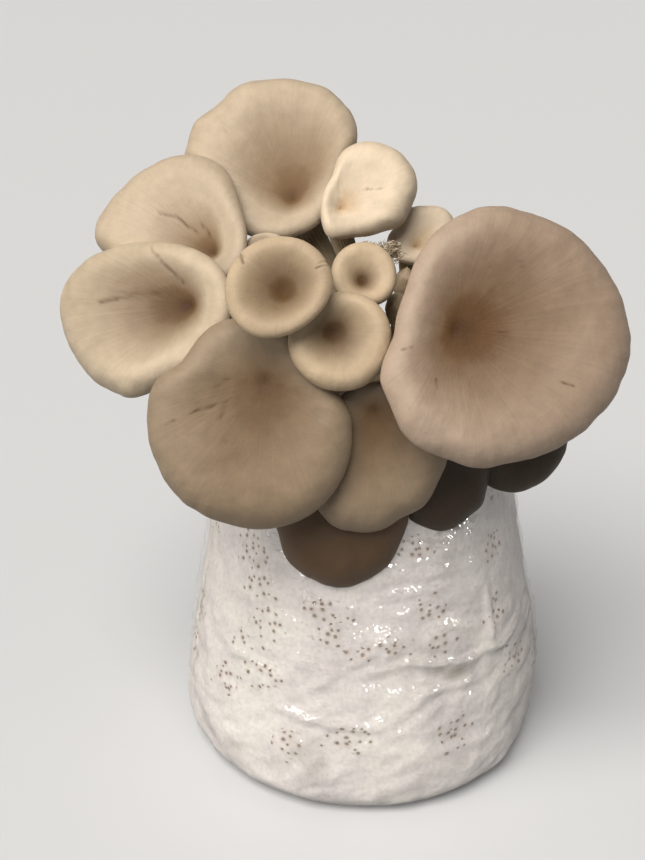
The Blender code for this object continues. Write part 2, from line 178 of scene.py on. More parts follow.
# Small creases and scars of each cap, in its plane: (x, y) to (x, y), half width, depth, darkness
SCARS = {
    "01": (((-28.5, 23.7), (-27.2, 22.4), 0.6, 0.1, 0.3),),
    "02": (((10.7, 6.4), (17.0, 5.4), 0.6, 0.15, 0.5),),
    "04": (((-25.5, 10.6), (-19.0, 10.5), 0.9, 0.35, 0.55), ((-19.0, 10.5), (-9.6, 6.5), 0.8, 0.35, 0.6),
           ((-7.8, 9.3), (-3.4, 6.1), 0.9, 0.3, 0.6)),
    "05": (((-34.6, -6.5), (-27.2, -2.7), 1.2, 0.4, 0.6), ((-27.2, -2.7), (-14.0, 1.5), 2.6, 0.5, 0.25),
           ((-21.0, 19.0), (-16.4, 15.2), 0.9, 0.3, 0.4), ((-16.4, 15.2), (-4.7, 7.5), 1.2, 0.45, 0.45)),
    "06": (((11.3, 6.9), (17.0, 9.7), 0.45, 0.25, 0.7), ((-16.0, 12.0), (-14.1, 8.1), 0.8, 0.4, 0.7)),
    "07": (((15.4, -2.6), (18.9, -3.6), 0.6, 0.15, 0.6), ((-10.5, -17.7), (-10.7, -20.6), 0.7, 0.2, 0.7),
           ((33.9, -23.0), (37.9, -24.9), 0.7, 0.2, 0.7), ((24.8, 21.3), (26.1, 19.0), 0.8, 0.15, 0.4),
           ((-21.5, -6.1), (-18.0, -5.7), 0.7, 0.2, 0.6), ((13.8, 12.6), (17.3, 10.2), 0.9, 0.2, 0.35)),
    "10": (((-25.7, -12.3), (-17.4, -9.6), 1.0, 0.35, 0.6),
           ((-34.6, -17.0), (-32.0, -15.4), 0.9, 0.25, 0.6),
           ((-14.0, -8.1), (-15.1, -13.8), 1.0, 0.25, 0.45),
           ((-17.3, -2.8), (-13.5, -0.1), 0.9, 0.25, 0.4),
           ((-14.7, -21.7), (-13.2, -22.7), 0.9, 0.2, 0.5)),
}

# Stems: direction in which each one leaves the base, radius at the base and under the cap
Stem = namedtuple("Stem", "leaves foot head")
STEMS = {
    "01": Stem((-150, 64), 5.4, 8.0),
    "02": Stem((0, 86), 4.0, 5.4),
    "03": Stem((120, 50), 3.6, 5.0),
    "04": Stem((-100, 56), 4.8, 7.0),
    "05": Stem((-82, 24), 5.2, 6.6),
    "06": Stem((-50, 60), 4.4, 6.4),
    "07": Stem((44, 44), 6.2, 10.0),
    "08": Stem((14, 64), 3.4, 4.6),
    "09": Stem((-16, 52), 4.2, 5.8),
    "10": Stem((-48, 28), 5.6, 8.6),
    "11": Stem((8, 30), 4.8, 6.8),
    "12": Stem((-16, 20), 3.6, 4.8),
    "13": Stem((30, 20), 3.6, 4.4),
    "14": Stem((68, 22), 3.8, 5.0),
    "15": Stem((-80, 74), 2.4, 3.0),
}
STEM_BOW = 0.34
STEM_RINGS = 46
STEM_SPOKES = 112
STEM_ROOT = 5.0                          # how far a stem is sunk in the base
STEM_TENON = 1.6                         # how far its head is sunk in the cap

PINHEADS = {"1": ((90, 64), (14.0, -30.0, 228.0), 4.2), "2": ((62, 62), (9.8, -43.0, 221.0), 4.8)}
PINHEAD_FORM = ((0.0, 0.45), (0.5, 0.5), (0.62, 0.86), (0.78, 1.0), (0.92, 0.8), (1.0, 0.3))

TUFT_CENTRE = Vector((3.5, -31.0, 233.5))
TUFT_SIZE = Vector((11.0, 2.6, 5.5))
TUFT_FIBRES = 230

# Small lamps: turn and tilt as seen from the bag, and how far off they stand in metres
SMALL_LAMPS = ((10.0, 4.0), (60.0, 6.0), (-44.0, 6.0))
LAMP_DISTANCE = 1.2

# Skins: colour of the margin, of the middle and of the dimple, in linear light
SKINS = {
    "ivory": ((0.72, 0.58, 0.42), (0.60, 0.42, 0.25), (0.25, 0.14, 0.055)),
    "cream": ((0.52, 0.41, 0.29), (0.19, 0.109, 0.046), (0.088, 0.036, 0.006)),
    "fawn": ((0.55, 0.44, 0.31), (0.145, 0.081, 0.032), (0.054, 0.019, 0.003)),
    "honey": ((0.57, 0.43, 0.28), (0.108, 0.058, 0.019), (0.068, 0.025, 0.005)),
    "rosy": ((0.43, 0.32, 0.235), (0.138, 0.070, 0.026), (0.059, 0.022, 0.004)),
    "taupe": ((0.315, 0.235, 0.155), (0.17, 0.103, 0.051), (0.095, 0.046, 0.016)),
    # The two darkest skins, worn by caps 12 to 14, are partly those caps' own dark brown and partly painted
    # shade from the caps above them.
    "umber_and_shade": ((0.105, 0.063, 0.034), (0.075, 0.044, 0.022), (0.05, 0.030, 0.014)),
    "sepia_and_shade": ((0.042, 0.026, 0.014), (0.034, 0.020, 0.011), (0.026, 0.015, 0.008)),
}
WEARS = {"01": "cream", "02": "ivory", "03": "ivory", "04": "cream", "05": "fawn", "06": "honey",
         "07": "rosy", "08": "honey", "09": "honey", "10": "taupe", "11": "taupe", "12": "umber_and_shade",
         "13": "sepia_and_shade", "14": "sepia_and_shade", "15": "cream"}
# The share of the reach at which the brown of the middle has faded into the margin's colour
BROWNING = {"01": 0.60, "02": 0.30, "03": 0.34, "04": 0.36, "05": 0.62, "06": 0.94, "07": 0.84,
            "08": 0.52, "09": 0.74, "10": 0.78, "11": 0.80, "12": 0.90, "13": 0.90, "14": 0.90,
            "15": 0.30}
# Direction in the cap's plane in which the brown reaches further, and how much
# For cap 01 the lean darkens its upper right margin: partly its own brown, partly painted shade where the
# margin rolls down.
LEANS = {"01": (62, 0.32), "03": (20, 0.3), "04": (150, 0.3), "05": (175, 0.30), "07": (15, 0.2),
         "10": (-80, 0.25)}


def smooth(value, low, high):
    """0 below low, 1 above high and an even slope between, on numbers or arrays."""
    t = np.clip((value - low) / (high - low), 0.0, 1.0)
    return t * t * (3 - 2 * t)


def aim(turn, tilt):
    """Unit vector that points a turn to the right of the front and a tilt above level."""
    turn, tilt = math.radians(turn), math.radians(tilt)
    return Vector((math.sin(turn) * math.cos(tilt), -math.cos(turn) * math.cos(tilt), math.sin(tilt)))


# Meshes

def read_points(mesh):
    points = np.empty(len(mesh.vertices) * 3)
    mesh.vertices.foreach_get("co", points)
    return points.reshape(-1, 3)


def write_points(mesh, points):
    mesh.vertices.foreach_set("co", (points * MM).ravel())
    mesh.update()


def paint(mesh, name, values):
    """Keep a number or a vector on every vertex for the material."""
    values = np.asarray(values, dtype=np.float32)
    kind = ("FLOAT", "value") if values.ndim == 1 else ("FLOAT_VECTOR", "vector")
    layer = mesh.attributes.new(name, kind[0], "POINT")
    layer.data.foreach_set(kind[1], values.ravel())


def rough(points, size, octaves=3):
    """Soft noise from about -1 to 1 at each point, with lumps of the given size."""
    return np.array([noise.fractal(Vector(point) / size, 0.9, 2.1, octaves) for point in points])


def crumple(points, size):
    """Creases between smooth facets, as in slack film, from 0 to about 1."""
    return np.array([noise.ridged_multi_fractal(Vector(point) / size, 1.1, 2.1, 2, 1.0, 1.6)
                     for point in points]) / 2.0


def rolled_grid(name, spokes, profile):
    """Roll a grid up round the Z axis along a profile of (radius, height) and close its seam."""
    rows = len(profile) - 1
    shape = bmesh.new()
    bmesh.ops.create_grid(shape, x_segments=spokes, y_segments=rows, size=1.0)
    for vertex in shape.verts:
        turn = (vertex.co.x + 1) * math.pi
        radius, height = profile[round((vertex.co.y + 1) / 2 * rows)]
        vertex.co = (radius * math.cos(turn), radius * math.sin(turn), height)
    bmesh.ops.remove_doubles(shape, verts=shape.verts, dist=0.00001)
    mesh = bpy.data.meshes.new(name)
    shape.to_mesh(mesh)
    shape.free()
    return mesh


def ball(name, spokes, levels):
    """A closed ball, with each vertex's level down from its top pole and its turn round the pole."""
    steps = [math.pi * level / levels for level in range(levels + 1)]
    mesh = rolled_grid(name, spokes, [(math.sin(step), -math.cos(step)) for step in steps])
    points = read_points(mesh)
    level = np.rint(np.arccos(np.clip(points[:, 2], -1, 1)) / math.pi * levels).astype(int)
    turn = np.where((level == 0) | (level == levels), 0.0, np.arctan2(points[:, 1], points[:, 0]))
    return mesh, level, turn


def place(mesh, surface, slot, *nodes):
    """Put a finished mesh in the scene in place of the solids that it stands for."""
    mesh.shade_smooth()
    mesh.materials.append(surface)
    piece = bpy.data.objects.new(mesh.name, mesh)
    bpy.context.collection.objects.link(piece)
    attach(piece, "root")
    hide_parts(*nodes)
    return piece


# Materials

class Finish:
    """A Principled material and short calls that add nodes to it."""

    def __init__(self, name):
        self.material = bpy.data.materials.new(name)
        self.material.use_nodes = True
        self.tree = self.material.node_tree
        self.shader = self.tree.nodes["Principled BSDF"]

    def node(self, kind, inputs=(), **settings):
        made = self.tree.nodes.new("ShaderNode" + kind)
        for key, value in settings.items():
            setattr(made, key, value)
        for key, value in dict(inputs).items():
            self.feed(value, made.inputs[key])
        return made

    def feed(self, value, socket):
        if isinstance(value, bpy.types.NodeSocket):
            self.tree.links.new(value, socket)
        else:
            socket.default_value = value

    def set(self, socket, value):
        self.feed(value, self.shader.inputs[socket])

    def attribute(self, name, output="Fac"):
        return self.node("Attribute", attribute_name=name).outputs[output]

    def place(self):
        return self.node("TexCoord").outputs["Object"]

    def maths(self, operation, first, second=0.0, clamp=False):
        return self.node("Math", {0: first, 1: second}, operation=operation, use_clamp=clamp).outputs[0]

    def vector(self, operation, first, second=None, scale=None):
        made = self.node("VectorMath", {0: first}, operation=operation)
        if second is not None:
            self.feed(second, made.inputs[1])
        if scale is not None:
            self.feed(scale, made.inputs["Scale"])
        return made.outputs[0]

    def noise(self, where, scale, detail=3.0, grain=0.5):
        made = self.node("TexNoise", {"Vector": where, "Scale": scale, "Detail": detail, "Roughness": grain})
        return made.outputs["Fac"]

    def spread(self, value, low, high):
        """Stretch a value between 0 and 1 to the range from low to high."""
        return self.node("MapRange", {"Value": value, "To Min": low, "To Max": high}).outputs[0]

    def ramp(self, factor, *stops):
        """Stops are (place, colour) or (place, grey). Many stops run into each other smoothly."""
        made = self.node("ValToRGB", {"Fac": factor})
        made.color_ramp.interpolation = "B_SPLINE" if len(stops) > 3 else "EASE"
        for index, (where, colour) in enumerate(stops):
            stops_made = made.color_ramp.elements
            stop = stops_made[index] if index < 2 else stops_made.new(where)
            stop.position = where
            shade = colour if isinstance(colour, tuple) else (colour,) * 3
            stop.color = (*shade, 1.0)
        return made.outputs["Color"]

    def mix(self, factor, first, second, blend="MIX"):
        made = self.node("Mix", data_type="RGBA", blend_type=blend)
        self.feed(factor, made.inputs[0])
        for socket, colour in ((made.inputs[6], first), (made.inputs[7], second)):
            self.feed((*colour, 1.0) if isinstance(colour, tuple) else colour, socket)
        return made.outputs[2]

    def bump(self, height, distance, strength=1.0, under=None):
        made = self.node("Bump", {"Height": height, "Distance": distance, "Strength": strength})
        if under is not None:
            self.feed(under, made.inputs["Normal"])
        return made.outputs["Normal"]


def cap_finish(name, margin, middle, dimple):
    """Satin skin with fine fibrils that run out from the dimple, over pale gills."""
    skin = Finish("skin_" + name)
    where = skin.place()
    share = skin.attribute("share")
    heading = skin.vector("NORMALIZE", skin.attribute("plan", "Vector"))
    outwards = skin.node("CombineXYZ", {"Z": skin.maths("MULTIPLY", share, 1.6)}).outputs[0]
    wide_rays = skin.vector("ADD", skin.vector("SCALE", heading, scale=22.0), outwards)
    thin_rays = skin.vector("ADD", skin.vector("SCALE", heading, scale=48.0), outwards)
    streaks = skin.noise(wide_rays, 1.0, 4.0, 0.6)
    fibrils = skin.noise(thin_rays, 1.0, 3.0, 0.6)
    clouds = skin.noise(where, 38.0, 3.0, 0.55)
    mottle = skin.noise(where, 170.0, 3.0, 0.6)
    pores = skin.noise(where, 2600.0, 2.0, 0.6)
    drift = skin.maths("MULTIPLY", skin.maths("SUBTRACT", streaks, 0.5), 0.10)
    drift = skin.maths("ADD", drift, skin.maths("MULTIPLY", skin.maths("SUBTRACT", clouds, 0.5), 0.22))
    between = tuple(0.6 * a + 0.4 * b for a, b in zip(middle, dimple))
    colour = skin.ramp(skin.maths("ADD", skin.attribute("zone"), drift), (0.0, dimple), (0.10, between),
                       (0.29, middle), (0.80, margin), (1.0, margin))
    fleck = skin.maths("ADD", skin.maths("MULTIPLY", fibrils, 0.16), skin.maths("MULTIPLY", mottle, 0.34))
    colour = skin.mix(1.0, colour, skin.ramp(fleck, (0.14, 0.90), (0.36, 1.06)), "MULTIPLY")
    scar = skin.maths("MULTIPLY", skin.attribute("scar"), skin.maths("ADD", mottle, 0.45), clamp=True)
    colour = skin.mix(scar, colour, tuple(0.8 * part for part in dimple))
    # The gaps between the gills take a darker copy of the gill colour: painted shade in the recesses.
    gill = tuple(0.62 * a + 0.38 * b for a, b in zip(margin, (0.72, 0.62, 0.48)))
    gill_gap_shade = tuple(0.52 * part for part in gill)
    gills = skin.mix(skin.attribute("gill_gap_shade"), gill, gill_gap_shade)
    gills = skin.mix(skin.maths("MULTIPLY", clouds, 0.35), gills, middle)
    skin.set("Base Color", skin.mix(skin.attribute("under"), colour, gills))
    skin.set("Roughness", skin.spread(mottle, 0.48, 0.62))
    velvet = skin.bump(pores, 0.00012, 0.5)
    lines = skin.bump(skin.maths("ADD", fibrils, streaks), 0.0002, 0.35, velvet)
    skin.set("Normal", skin.bump(mottle, 0.0009, 0.35, lines))
    skin.set("Specular IOR Level", 0.25)
    return skin.material


def flesh_finish(name, pale, dark_tone_and_shade):
    """Matte flesh with long fibres: stems, the cluster base and pinheads."""
    flesh = Finish(name)
    where = flesh.place()
    round_it = flesh.vector("SCALE", flesh.attribute("round", "Vector"), scale=9.0)
    fibres = flesh.noise(round_it, 1.0, 4.0, 0.65)
    clouds = flesh.noise(where, 60.0, 4.0, 0.6)
    fuzz = flesh.noise(where, 1500.0, 3.0, 0.7)
    # The darker tone is the flesh's own colour on the base and the pinheads, and painted shade on the stems.
    colour = flesh.mix(flesh.attribute("dark_tone_and_shade"), pale, dark_tone_and_shade)
    shade = flesh.maths("ADD", flesh.maths("MULTIPLY", fibres, 0.5), flesh.maths("MULTIPLY", clouds, 0.5))
    colour = flesh.mix(1.0, colour, flesh.ramp(shade, (0.34, 0.70), (0.64, 1.08)), "MULTIPLY")
    flesh.set("Base Color", colour)
    flesh.set("Roughness", flesh.spread(fibres, 0.5, 0.72))
    flesh.set("Normal", flesh.bump(fibres, 0.0006, 0.6, flesh.bump(fuzz, 0.0002, 0.5)))
    return flesh.material


def block_finish():
    """White mycelium over the substrate, with clusters of small brown pinholes."""
    block = Finish("mycelium_crust")
    where = block.place()
    flat = block.node("UVMap", uv_map="unrolled").outputs[0]
    clouds = block.noise(where, 30.0, 4.0, 0.6)
    felt = block.noise(where, 520.0, 4.0, 0.65)
    crinkle = block.noise(where, 150.0, 2.0, 0.5)
    colour = block.ramp(clouds, (0.38, (0.74, 0.67, 0.63)), (0.50, (0.84, 0.77, 0.72)),
                        (0.62, (0.90, 0.84, 0.76)))
    colour = block.mix(1.0, colour, block.ramp(felt, (0.34, 0.90), (0.62, 1.04)), "MULTIPLY")
    colour = block.mix(block.attribute("stain"), colour, (0.21, 0.17, 0.095))
    holes = block.node("TexVoronoi", {"Vector": flat, "Scale": 290.0, "Randomness": 0.95},
                       voronoi_dimensions="2D", feature="F1")
    cell = block.node("SeparateColor", {"Color": holes.outputs["Color"]})
    present = block.maths("LESS_THAN", cell.outputs["Red"], block.attribute("pitted"))
    size = block.spread(cell.outputs["Green"], 0.12, 0.26)
    away = block.maths("DIVIDE", holes.outputs["Distance"], size)
    hole = block.node("MapRange", {"Value": away, "From Min": 0.55, "From Max": 1.15, "To Min": 1.0,
                                   "To Max": 0.0}, interpolation_type="SMOOTHSTEP").outputs[0]
    hole = block.maths("MULTIPLY", hole, present)
    halo = block.node("MapRange", {"Value": away, "From Min": 0.8, "From Max": 2.6, "To Min": 0.5,
                                   "To Max": 0.0}).outputs[0]
    colour = block.mix(block.maths("MULTIPLY", halo, present), colour, (0.56, 0.39, 0.23))
    colour = block.mix(hole, colour, (0.22, 0.125, 0.065))
    block.set("Base Color", colour)
    block.set("Roughness", 0.6)
    block.set("Specular IOR Level", 0.3)
    relief = block.bump(crinkle, 0.0012, 0.6, block.bump(felt, 0.0004, 0.4))
    block.set("Normal", block.bump(block.maths("MULTIPLY", hole, -1.0), 0.0008, 0.9, relief))
    return block.material


def film_finish():
    """Clear, glossy, finely crinkled plastic film."""
    film = Finish("clear_film")
    where = film.place()
    crinkle = film.noise(where, 150.0, 2.0, 0.5)
    fine = film.noise(where, 420.0, 1.0, 0.5)
    film.set("Base Color", (0.90, 0.89, 0.88, 1.0))
    film.set("Metallic", 0.6)
    film.set("Roughness", film.spread(crinkle, 0.05, 0.14))
    film.set("Normal", film.bump(crinkle, 0.0018, 0.8, film.bump(fine, 0.0003, 0.5)))
    film.set("Alpha", 0.15)
    return film.material


def fibre_finish():
    """Dry grey-brown fibres."""
    fibre = Finish("dried_fibre")
    where = fibre.place()
    streak = fibre.noise(where, 500.0, 3.0, 0.6)
    fibre.set("Base Color", fibre.ramp(streak, (0.35, (0.30, 0.22, 0.13)), (0.65, (0.66, 0.56, 0.42))))
    fibre.set("Roughness", 0.8)
    fibre.set("Normal", fibre.bump(streak, 0.0002, 0.6))
    return fibre.material


# Bag and block

def bag_outline(step, top):
    """Points (radius, height) up the bag's outer side, on a smooth curve through its profile."""
    corners = [Vector((radius, height)) for height, radius in BAG_PROFILE]
    before = [corners[0] * 2 - corners[1]] + corners[:-1]
    after = corners[1:] + [corners[-1] * 2 - corners[-2]]
    points = []
    for index in range(len(corners) - 1):
        a, b, c, d = before[index], corners[index], corners[index + 1], after[index + 1]
        pieces = max(1, round((c - b).length / step))
        for part in range(pieces):
            t = part / pieces
            points.append(0.5 * (2 * b + (c - a) * t + (2 * a - 5 * b + 4 * c - d) * t ** 2
                                 + (3 * b - a - 3 * c + d) * t ** 3))
    points.append(corners[-1])
    return [point for point in points if point.y <= top]


def bag_swell(turn, height):
    """The soft swells that the bag's solids have. The turn here is the angle from +X."""
    swell = sum(size * np.sin(count * turn + start + height / climb)
                for size, count, start, climb in BAG_SWELLS)
    return swell * np.minimum(1.0, height / SWELL_FADE)


def right_of_front(points):
    """Degrees to the right of the bag's front."""
    return np.degrees(np.arctan2(points[:, 0], -points[:, 1]))


def from_line(turn, height, radius, start, end):
    """Distance over the bag's skin from each point to a line between two (turn, height) points."""
    middle = 0.5 * (start[0] + end[0])
    away = (turn - middle + 180.0) % 360.0 - 180.0
    reach = np.radians(1.0) * radius
    across = away * reach
    first, last = (start[0] - middle) * reach, (end[0] - middle) * reach
    run_x, run_y = last - first, end[1] - start[1]
    along = ((across - first) * run_x + (height - start[1]) * run_y) / (run_x ** 2 + run_y ** 2)
    along = np.clip(along, 0.0, 1.0)
    return np.hypot(across - first - along * run_x, height - start[1] - along * run_y), along


def from_middle(turn, height, radius, patch):
    """Distance over the bag from the middle of a patch, 1 at the patch's own size."""
    middle, level, wide, tall = patch
    across = ((turn - middle + 180) % 360 - 180) * np.radians(1.0) * radius
    return np.hypot(across / wide, (height - level) / tall)


def crinkled_places(turn, height, radius):
    """How finely crinkled the film is at each point, from 0 to 1."""
    crinkled = np.zeros(len(turn))
    for patch in CRINKLED:
        crinkled = np.maximum(crinkled, 1 - smooth(from_middle(turn, height, radius, patch), 0.4, 1.3))
    return crinkled


def film_relief(points, folds):
    """How far the film stands off the smooth bag.

    Soft ruffles lie all over it. Creases lie level on its right, slant near its foot and stand
    up on its left. Over them come fine crinkles in some places, and the long folds.
    """
    turn, height = right_of_front(points), points[:, 2]
    radius = np.maximum(30.0, np.hypot(points[:, 0], points[:, 1]))
    side, upwards = points[:, 0], np.array((0.0, 0.0, 1.0))
    ruffle = rough(points * (0.8, 0.8, 1.3), 17.0, 2)
    lying = crumple(points * (0.4, 0.4, 1.5), 15.0) * smooth(side, -5.0, 25.0)
    slanting = crumple(points * (0.6, 0.6, 1.7) - side[:, None] * 0.8 * upwards, 15.0)
    slanting *= 1 - smooth(height, 68.0, 92.0)
    standing = crumple(points * (1.2, 1.2, 0.4) + 300.0, 15.0) * (1 - smooth(side, -15.0, 15.0))
    busy = smooth(rough(points + 200.0, 34.0, 2), -0.35, 0.35)
    creases = 1.2 * lying + 1.9 * slanting + 0.8 * standing
    relief = 0.3 + 1.0 * ruffle + (0.3 + 0.7 * busy) * creases
    relief += 0.55 * crinkled_places(turn, height, radius) * rough(points + 500.0, 4.2, 2)
    for start, end, width, rise in folds:
        away, along = from_line(turn, height, radius, start, end)
        away = away + 0.8 * ruffle
        ends = np.sin(math.pi * np.clip(along * 0.92 + 0.04, 0, 1)) ** 0.5
        crest, valleys = np.exp(-(away / width) ** 2), np.exp(-(away / (2.4 * width)) ** 2)
        relief += rise * ends * (crest - 0.35 * valleys)
    return relief * smooth(height, 1.0, 9.0)


def move_out(points, distance):
    """Push points away from the bag's axis, less near the middle of its flat faces."""
    radius = np.maximum(1.0, np.hypot(points[:, 0], points[:, 1]))
    stretch = 1 + distance * np.minimum(1.0, radius / SWELL_RADIUS) / radius
    return points * np.stack([stretch, stretch, np.ones_like(stretch)], axis=1)


def make_film(surface):
    """One thin closed shell: smooth below, crinkled up its side and gathered at the open rim."""
    floor = [(radius, 0.0) for radius in np.linspace(0.0, BOTTOM, 14)]
    profile = floor + [tuple(point) for point in bag_outline(FILM_STEP, RIM)]
    mesh = rolled_grid("clear_bag", FILM_SPOKES, profile)
    points = read_points(mesh)
    turn, height = np.arctan2(points[:, 1], points[:, 0]), points[:, 2]
    relief = bag_swell(turn, height) + film_relief(points, FOLDS + LOOSE_FOLDS)
    rise = smooth(height, BLOCK_TOP - 6.0, RIM)
    gather = np.sin(PLEATS * turn + 1.5 * np.sin(3 * turn)) + 0.5 * np.sin(7 * turn + 1.0)
    relief += rise * (1.5 * gather + 1.0)
    points = move_out(points, relief)
    points[:, 2] += rise ** 2 * (1.6 * np.sin(5 * turn + 0.4) + 1.0 * np.sin(11 * turn))
    write_points(mesh, points)
    film = place(mesh, surface, "bag_film", "grow_bag_film")
    wall = film.modifiers.new("film thickness", "SOLIDIFY")
    wall.thickness = FILM_THICK * MM
    wall.offset = -1.0
    return film


def pinhole_patches(points):
    """How thickly pinholes lie at each point, from 0 to about 1."""
    turn, height = right_of_front(points), points[:, 2]
    radius = np.hypot(points[:, 0], points[:, 1])
    chance = np.random.default_rng(7)
    patches = list(PINHOLES)
    for _ in range(BACK_PATCHES):
        patches.append((chance.uniform(75, 285), chance.uniform(18, 140), chance.uniform(6, 12),
                        chance.uniform(5, 10)))
    thick = np.zeros(len(points))
    for patch in patches:
        thick = np.maximum(thick, 0.9 * (1 - smooth(from_middle(turn, height, radius, patch), 0.6, 1.3)))
    return thick


def stain_patches(points):
    """How strongly each point is stained, from 0 to 1."""
    turn, height = right_of_front(points), points[:, 2]
    radius = np.hypot(points[:, 0], points[:, 1])
    ragged = 1 + 0.5 * rough(points + 40.0, 7.0, 3)
    stain = 0.25 * smooth(rough(points + 40.0, 24.0, 3), 0.35, 0.75)
    for *patch, strength in STAINS:
        away = from_middle(turn, height, radius, patch) * ragged
        stain = np.maximum(stain, strength * np.exp(-away ** 2))
    return stain


def unroll(mesh, points):
    """Lay the bag's side out flat in a UV map: along it to the right, and its height, in metres."""
    layer = mesh.uv_layers.new(name="unrolled")
    corners = np.empty(len(mesh.loops), dtype=np.int32)
    mesh.loops.foreach_get("vertex_index", corners)
    starts = np.empty(len(mesh.polygons), dtype=np.int32)
    mesh.polygons.foreach_get("loop_start", starts)
    face = np.repeat(np.arange(len(starts)), np.diff(np.append(starts, len(corners))))
    turn = right_of_front(points)[corners]
    first = turn[starts][face]
    turn = first + (turn - first + 180.0) % 360.0 - 180.0
    flat = np.stack([np.radians(turn) * 70.0, points[corners, 2]], axis=1) * MM
    layer.data.foreach_set("uv", flat.ravel())


def make_block(surface):
    """The substrate block, overgrown with lumpy white mycelium."""
    outer = bag_outline(BLOCK_STEP, SHOULDER)
    side = [(point.x - BLOCK_INSET, max(point.y, BLOCK_INSET)) for point in outer]
    floor = [(radius, BLOCK_INSET) for radius in np.linspace(0.0, BOTTOM - 2.0, 10)]
    inner = side[-1][0] - SHOULDER_ROUND
    shoulder = [(inner + SHOULDER_ROUND * math.cos(step), SHOULDER + (CROWN - SHOULDER) * math.sin(step))
                for step in np.linspace(0.0, math.pi / 2, 14)[1:]]
    crown = [(radius, CROWN) for radius in np.linspace(shoulder[-1][0], 0.0, 20)[1:]]
    mesh = rolled_grid("mycelium_block", BLOCK_SPOKES, floor + side + shoulder + crown)
    points = read_points(mesh)
    turn, height = np.arctan2(points[:, 1], points[:, 0]), points[:, 2]
    lumps = rough(points, 13.0, 3)
    knots = np.maximum(0.0, rough(points + 90.0, 5.0, 2))
    top = smooth(height, 140.0, 156.0)
    relief = bag_swell(turn, height) + film_relief(points, FOLDS) * (1 - top)
    points = move_out(points, relief)
    points[:, 2] += top * (1.1 * lumps + 1.5 * knots - 0.6)
    write_points(mesh, points)
    unroll(mesh, points)
    paint(mesh, "pitted", pinhole_patches(points))
    paint(mesh, "stain", stain_patches(points))
    return place(mesh, surface, "mycelium_block", "substrate_block")


# Cluster base, stems and pinheads

def base_reach(direction):
    """Distance from the base's middle to its smooth skin, one way or for an array of ways."""
    return 1.0 / np.linalg.norm(np.asarray(direction) / BASE_SIZE, axis=-1)


def make_base(surface):
    """Lumpy tissue that the stems are fused to, spreading at its foot."""
    mesh, level, turn = ball("cluster_butt", 260, 170)
    ways = read_points(mesh)
    ways /= np.linalg.norm(ways, axis=1)[:, None]
    lump = 1 - BASE_LUMP * (0.5 + 0.5 * np.sin(4 * turn + 1.0) * np.cos(3 * ways[:, 2]))
    points = BASE_CENTRE + ways * (base_reach(ways) * lump)[:, None]
    coarse, fine = rough(points, 9.0, 3), rough(points + 50.0, 2.4, 2)
    points += ways * (0.9 * coarse + 0.22 * fine)[:, None]
    foot = BLOCK_TOP - 0.2
    low = np.maximum(0.0, foot + 9.0 - points[:, 2])
    points[:, :2] += ways[:, :2] * (0.02 * low ** 2)[:, None]
    points[:, 2] = np.maximum(points[:, 2], foot - 0.8)
    write_points(mesh, points)
    paint(mesh, "round", points / 60.0)
    paint(mesh, "dark_tone_and_shade", np.clip(0.35 + 0.5 * coarse, 0.0, 1.0) * 0.6)
    return place(mesh, surface, "cluster_base", "cluster_base")


def stem_line(cap, stem):
    """Centres and axes up a stem, from inside the base to inside its cap, and the run of each."""
    leaves, outward = aim(*stem.leaves), aim(*cap.facing)
    start = Vector(BASE_CENTRE) + leaves * (base_reach(leaves) - STEM_ROOT)
    end = Vector(cap.dimple) - outward * (cap.flesh - STEM_TENON)
    span = end - start
    arrives = (outward + span.normalized()).normalized()
    first = start + leaves * span.length * STEM_BOW
    second = end - arrives * span.length * STEM_BOW
    centres, axes = [], []
    for index in range(STEM_RINGS):
        t = index / (STEM_RINGS - 1)
        centres.append((1 - t) ** 3 * start + 3 * (1 - t) ** 2 * t * first
                       + 3 * (1 - t) * t ** 2 * second + t ** 3 * end)
        axis = ((1 - t) ** 2 * (first - start) + 2 * (1 - t) * t * (second - first)
                + t ** 2 * (end - second)).normalized()
        axes.append(axis.lerp(outward, t ** 4).normalized())
    return np.array(centres), np.array(axes), span.length


def club(name, spokes, centres, axes):
    """A ball drawn out along a line: its mesh, and each vertex's ring, turn and way out, and
    whether it is a pole."""
    mesh, level, turn = ball(name, spokes, len(centres) + 1)
    ring = np.clip(len(centres) - level, 0, len(centres) - 1)
    side = Vector(axes[0]).cross(Vector(axes[-1]))
    if side.length < 0.1:
        side = Vector(axes[0]).orthogonal()
    across = np.array(side) - axes * (axes @ np.array(side))[:, None]
    across /= np.linalg.norm(across, axis=1)[:, None]
    other = np.cross(axes, across)
    out = across[ring] * np.cos(turn)[:, None] + other[ring] * np.sin(turn)[:, None]
    pole = (level == 0) | (level == len(centres) + 1)
    return mesh, ring, turn, out, pole


